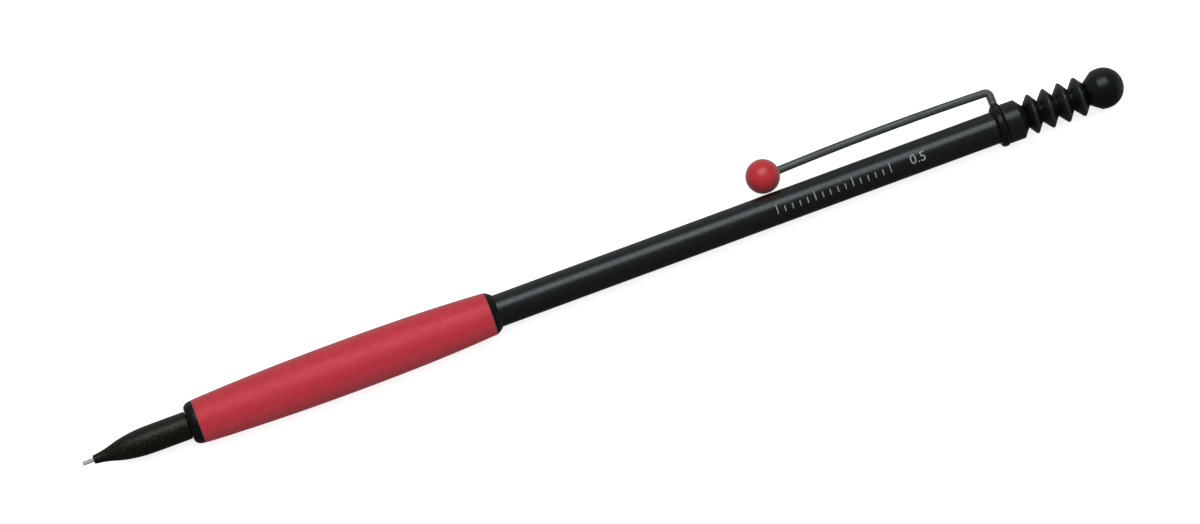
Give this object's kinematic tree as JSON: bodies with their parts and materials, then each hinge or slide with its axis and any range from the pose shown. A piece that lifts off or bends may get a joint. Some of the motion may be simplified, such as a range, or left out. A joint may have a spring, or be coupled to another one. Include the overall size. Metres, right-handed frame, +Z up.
{
  "type": "lead holder",
  "caption": "Slim push-button lead holder for thin leads, with a barrel-shaped rubber grip, a spring-wire clip ending in a ball, and a bellows under a ball-shaped push knob.",
  "frame": {"origin": "centre of the nose's front face, where the lead comes out, on the barrel's axis", "axes": "+X along the axis from the writing end to the push knob; +Z up with the holder lying on its side, on its grip and its clip's ball; +Y level, on the clip's side, so that the clip points 9.35 degrees below +Y"},
  "size_m": [0.1374, 0.0098, 0.0066],
  "materials": {
    "nose_black": "matte",
    "ring_black": "satin",
    "grip_red": "matte",
    "barrel_black": "satin",
    "collar_black": "satin",
    "clip_ring_black": "satin",
    "clip_steel": "satin",
    "ball_red": "satin",
    "bellows_black": "matte",
    "knob_black": "satin",
    "brass": "satin",
    "spring_steel": "satin",
    "inner_plastic": "satin",
    "inner_rubber": "matte",
    "lead_grey": "satin"
  },
  "bodies": {
    "barrel_body": {"barrel": "barrel_black", "clutch_sleeve": "brass", "grip_front_ring": "ring_black", "grip_sleeve": "grip_red", "grip_rear_ring": "ring_black", "end_collar": "collar_black", "clip_ring": "clip_ring_black", "bellows": "bellows_black", "return_spring": "spring_steel"},
    "push_unit": {"chuck": "brass", "tube_coupling": "inner_plastic", "lead_tube": "inner_plastic", "spare_leads": "lead_grey"},
    "knob": {"push_knob": "knob_black"},
    "clutch": {"clutch_ring": "brass"},
    "retainer": {"lead_retainer": "inner_rubber"},
    "nose": {"nose_cone": "nose_black"},
    "lead": {"working_lead": "lead_grey"},
    "clip": {"clip_wire": "clip_steel", "clip_ball": "ball_red"}
  },
  "joints": [
    {"name": "push_button", "type": "slide", "parent": "barrel_body", "child": "push_unit", "axis": [-1, 0, 0], "range_m": [0, 0.0025], "stiffness_N_per_m": 1200, "springref_m": -0.002, "deforming": ["bellows", "return_spring"]},
    {"name": "knob_pull", "type": "slide", "parent": "push_unit", "child": "knob", "axis": [1, 0, 0], "range_m": [0, 0.012]},
    {"name": "clutch_ring_slide", "type": "slide", "parent": "barrel_body", "child": "clutch", "axis": [-1, 0, 0], "range_m": [0, 0.0009001]},
    {"name": "lead_feed", "type": "slide", "parent": "clutch", "child": "lead", "axis": [-1, 0, 0], "range_m": [-0.0014, 0.05]},
    {"name": "nose_advance", "type": "slide", "parent": "barrel_body", "child": "retainer", "axis": [-1, 0, 0], "range_m": [0, 0.003]},
    {"name": "nose_turn", "type": "hinge", "parent": "retainer", "child": "nose", "pos_m": [0.01, 0, 0], "axis": [-1, 0, 0], "range_deg": [0, 2160.1]},
    {"name": "clip_flex", "type": "hinge", "parent": "barrel_body", "child": "clip", "pos_m": [0.11982, 0.00255, -0.00042], "axis": [0, -0.1625, -0.9867], "range_deg": [0, 6], "stiffness_Nm_per_rad": 1, "deforming": ["clip_wire"]}
  ],
  "couplings": [
    {"joint": "clutch_ring_slide", "follows": "push_button", "ratio": 0.36},
    {"joint": "nose_turn", "follows": "nose_advance", "rad_per_m": 12566}
  ]
}
